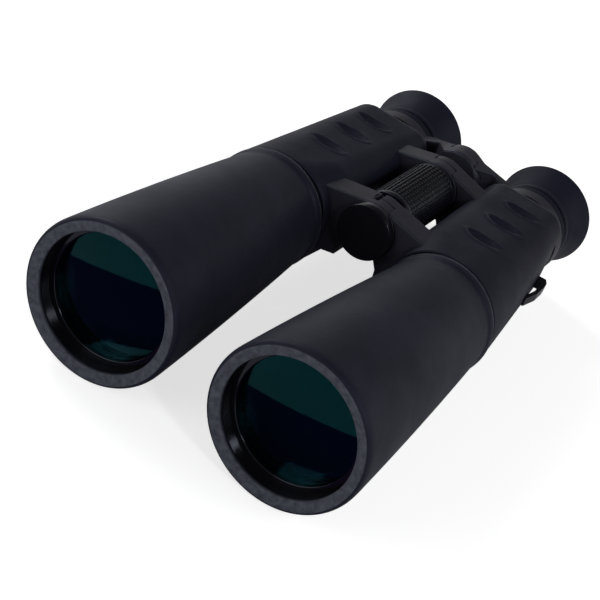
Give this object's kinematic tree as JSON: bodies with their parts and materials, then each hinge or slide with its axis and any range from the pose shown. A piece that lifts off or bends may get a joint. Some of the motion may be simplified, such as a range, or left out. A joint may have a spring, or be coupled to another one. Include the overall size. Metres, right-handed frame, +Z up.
{
  "type": "binoculars",
  "caption": "Large black rubber-armoured binoculars with flared objective barrels, a folding centre hinge, a ribbed focus drum and flared eyecups.",
  "frame": {"origin": "on the surface under the middle of the length, midway between the barrels, as the object lies with its axes level", "axes": "+Y along the optical axes towards the eyepieces, +X across towards the barrel nearer the camera in the picture, +Z up"},
  "size_m": [0.1686, 0.283, 0.0746],
  "materials": {
    "rubber_armour": "matte, fine grain",
    "grip_rubber": "matte, ribbed",
    "dark_metal": "black, satin",
    "steel_black": "black, satin",
    "steel": "plain",
    "brass": "plain",
    "black_plastic": "matte",
    "gloss_plastic": "glossy",
    "coated_glass": "green coating",
    "clear_glass": "clear"
  },
  "bodies": {
    "left_half": {"barrel_armour_left": "rubber_armour", "barrel_tube_left": "dark_metal", "objective_cell_left": "dark_metal", "objective_retainer_left": "dark_metal", "objective_crown_left": "coated_glass", "objective_flint_left": "coated_glass", "prism_housing_left": "dark_metal", "housing_skin_left": "rubber_armour", "rear_plate_left": "dark_metal", "rear_plate_screws_left": "steel", "prism_cage_left": "black_plastic", "front_prism_left": "clear_glass", "roof_prism_left": "clear_glass", "strap_lug_left": "steel_black", "hinge_tube": "steel", "tripod_bush": "brass", "hinge_nut": "steel", "hinge_washers": "brass"},
    "right_half": {"barrel_armour_right": "rubber_armour", "barrel_tube_right": "dark_metal", "objective_cell_right": "dark_metal", "objective_retainer_right": "dark_metal", "objective_crown_right": "coated_glass", "objective_flint_right": "coated_glass", "prism_housing_right": "dark_metal", "housing_skin_right": "rubber_armour", "rear_plate_right": "dark_metal", "rear_plate_screws_right": "steel", "prism_cage_right": "black_plastic", "front_prism_right": "clear_glass", "roof_prism_right": "clear_glass", "strap_lug_right": "steel_black"},
    "focus_wheel": {"focus_core": "black_plastic", "focus_grip": "grip_rubber"},
    "left_ocular": {"bridge_arm_left": "dark_metal", "eyepiece_tube_left": "dark_metal", "field_lens_left": "clear_glass", "eye_lens_left": "coated_glass", "eyepiece_collar_left": "black_plastic", "eyecup_left": "rubber_armour", "focus_spindle": "steel", "drive_pin": "steel", "bridge_cap": "gloss_plastic"},
    "right_ocular": {"bridge_arm_right": "dark_metal"},
    "dioptre_ring": {"dioptre_ring_right": "black_plastic"},
    "right_eyepiece": {"eyepiece_tube_right": "dark_metal", "field_lens_right": "clear_glass", "eye_lens_right": "coated_glass", "eyecup_right": "rubber_armour"},
    "cap": {"hinge_cap": "gloss_plastic"}
  },
  "joints": [
    {"name": "fold", "type": "hinge", "parent": "left_half", "child": "right_half", "pos_m": [0, 0, 0.0523], "axis": [0, 1, 0], "range_deg": [0, 44]},
    {"name": "focus_turn", "type": "hinge", "parent": "left_half", "child": "focus_wheel", "pos_m": [0, 0, 0.0523], "axis": [0, 1, 0], "range_deg": [-108.5, 360.5]},
    {"name": "left_focus", "type": "slide", "parent": "left_half", "child": "left_ocular", "axis": [0, 1, 0], "range_m": [-0.0015, 0.005]},
    {"name": "right_focus", "type": "slide", "parent": "right_half", "child": "right_ocular", "axis": [0, 1, 0], "range_m": [-0.00151, 0.00501]},
    {"name": "dioptre_turn", "type": "hinge", "parent": "right_ocular", "child": "dioptre_ring", "pos_m": [0.039, 0, 0.0363], "axis": [0, 1, 0], "range_deg": [-90.5, 90.5]},
    {"name": "dioptre_slide", "type": "slide", "parent": "right_ocular", "child": "right_eyepiece", "axis": [0, 1, 0], "range_m": [-0.0025, 0.0025]},
    {"name": "cap_pull", "type": "slide", "parent": "left_half", "child": "cap", "axis": [0, -1, 0], "range_m": [0, 0.04]}
  ],
  "couplings": [
    {"joint": "focus_turn", "follows": "left_focus", "rad_per_m": 1256.6},
    {"joint": "right_focus", "follows": "left_focus", "ratio": 1},
    {"joint": "dioptre_turn", "follows": "dioptre_slide", "rad_per_m": 628.32}
  ]
}
